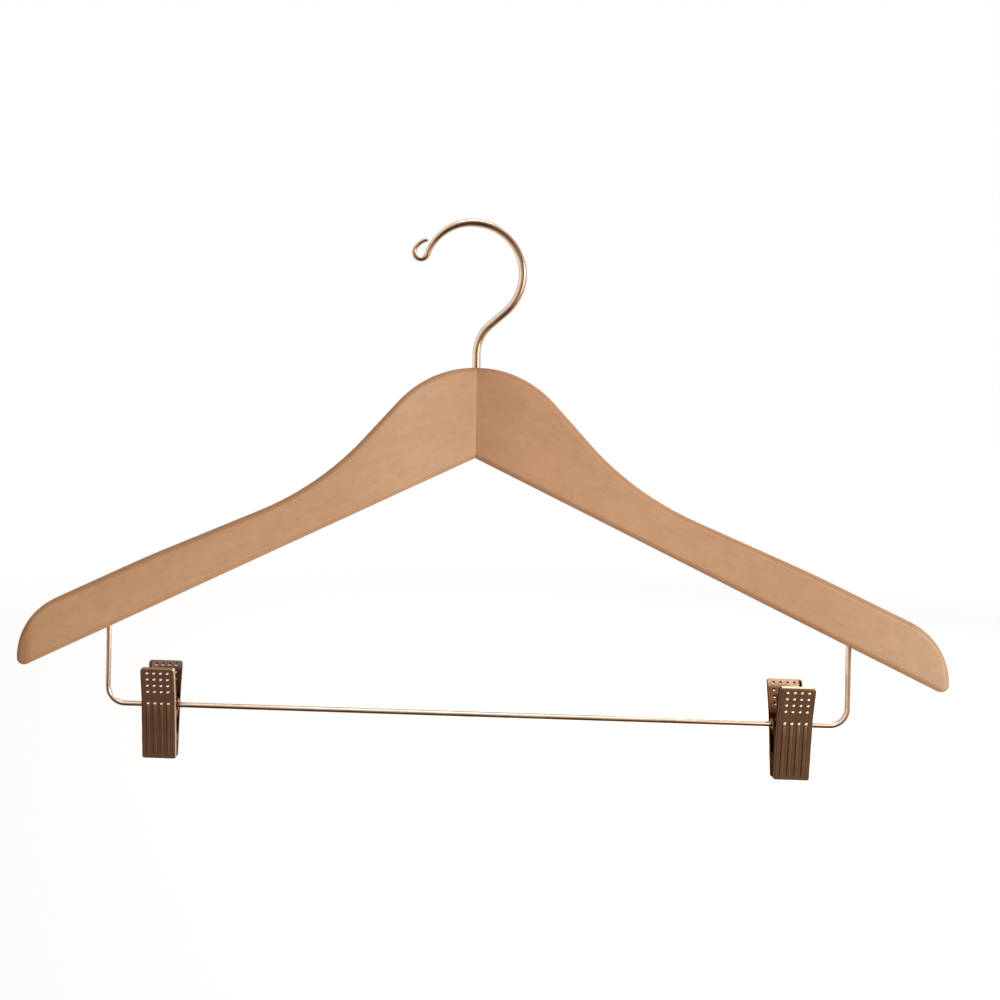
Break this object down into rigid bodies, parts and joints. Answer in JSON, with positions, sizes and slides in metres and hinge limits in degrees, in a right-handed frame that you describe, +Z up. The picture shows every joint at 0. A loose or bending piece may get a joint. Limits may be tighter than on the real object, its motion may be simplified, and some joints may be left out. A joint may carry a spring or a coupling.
{
  "type": "trouser hanger",
  "caption": "Wooden clothes hanger with a swivelling wire hook, a wire trouser bar and sprung metal clips that slide along the bar.",
  "frame": {"origin": "on the hook's turning axis, level with the inner crown of the hook, which sits on the rail", "axes": "+X along the hanger, +Z up, the front looks toward -Y"},
  "size_m": [0.4456, 0.025, 0.2682],
  "materials": {
    "wood": "satin clear lacquer on pale beech",
    "plated_wire": "polished warm nickel plating",
    "plated_sheet": "polished warm nickel plating",
    "spring_steel": "drawn wire",
    "jaw_pvc": "clear soft PVC"
  },
  "bodies": {
    "hook": {"hook": "plated_wire"},
    "hanger": {"left_arm": "wood", "right_arm": "wood", "trouser_bar": "plated_wire"},
    "left_slider": {"left_rivet": "plated_wire"},
    "left_clip": {"left_back_plate": "plated_sheet", "left_spring": "spring_steel", "left_back_pad": "jaw_pvc"},
    "left_jaw": {"left_front_plate": "plated_sheet", "left_front_pad": "jaw_pvc"},
    "right_slider": {"right_rivet": "plated_wire"},
    "right_clip": {"right_back_plate": "plated_sheet", "right_spring": "spring_steel", "right_back_pad": "jaw_pvc"},
    "right_jaw": {"right_front_plate": "plated_sheet", "right_front_pad": "jaw_pvc"}
  },
  "joints": [
    {"name": "hook_swivel", "type": "hinge", "parent": "hook", "child": "hanger", "pos_m": [0, 0, -0.06985], "axis": [0, 0, 1], "continuous": true},
    {"name": "left_clip_slide", "type": "slide", "parent": "hanger", "child": "left_slider", "axis": [1, 0, 0], "range_m": [-0.008, 0.14]},
    {"name": "left_clip_swing", "type": "hinge", "parent": "left_slider", "child": "left_clip", "pos_m": [-0.15199, -0.00936, -0.23832], "axis": [1, 0, 0], "continuous": true},
    {"name": "left_jaw_open", "type": "hinge", "parent": "left_clip", "child": "left_jaw", "pos_m": [-0.15199, -0.00936, -0.23832], "axis": [-1, 0, 0], "range_deg": [0, 32], "stiffness_Nm_per_rad": 0.25, "springref_deg": -34.38, "deforming": ["left_spring"]},
    {"name": "right_clip_slide", "type": "slide", "parent": "hanger", "child": "right_slider", "axis": [-1, 0, 0], "range_m": [-0.008, 0.14]},
    {"name": "right_clip_swing", "type": "hinge", "parent": "right_slider", "child": "right_clip", "pos_m": [0.15199, -0.00936, -0.23832], "axis": [1, 0, 0], "continuous": true},
    {"name": "right_jaw_open", "type": "hinge", "parent": "right_clip", "child": "right_jaw", "pos_m": [0.15199, -0.00936, -0.23832], "axis": [-1, 0, 0], "range_deg": [0, 32], "stiffness_Nm_per_rad": 0.25, "springref_deg": -34.38, "deforming": ["right_spring"]}
  ]
}
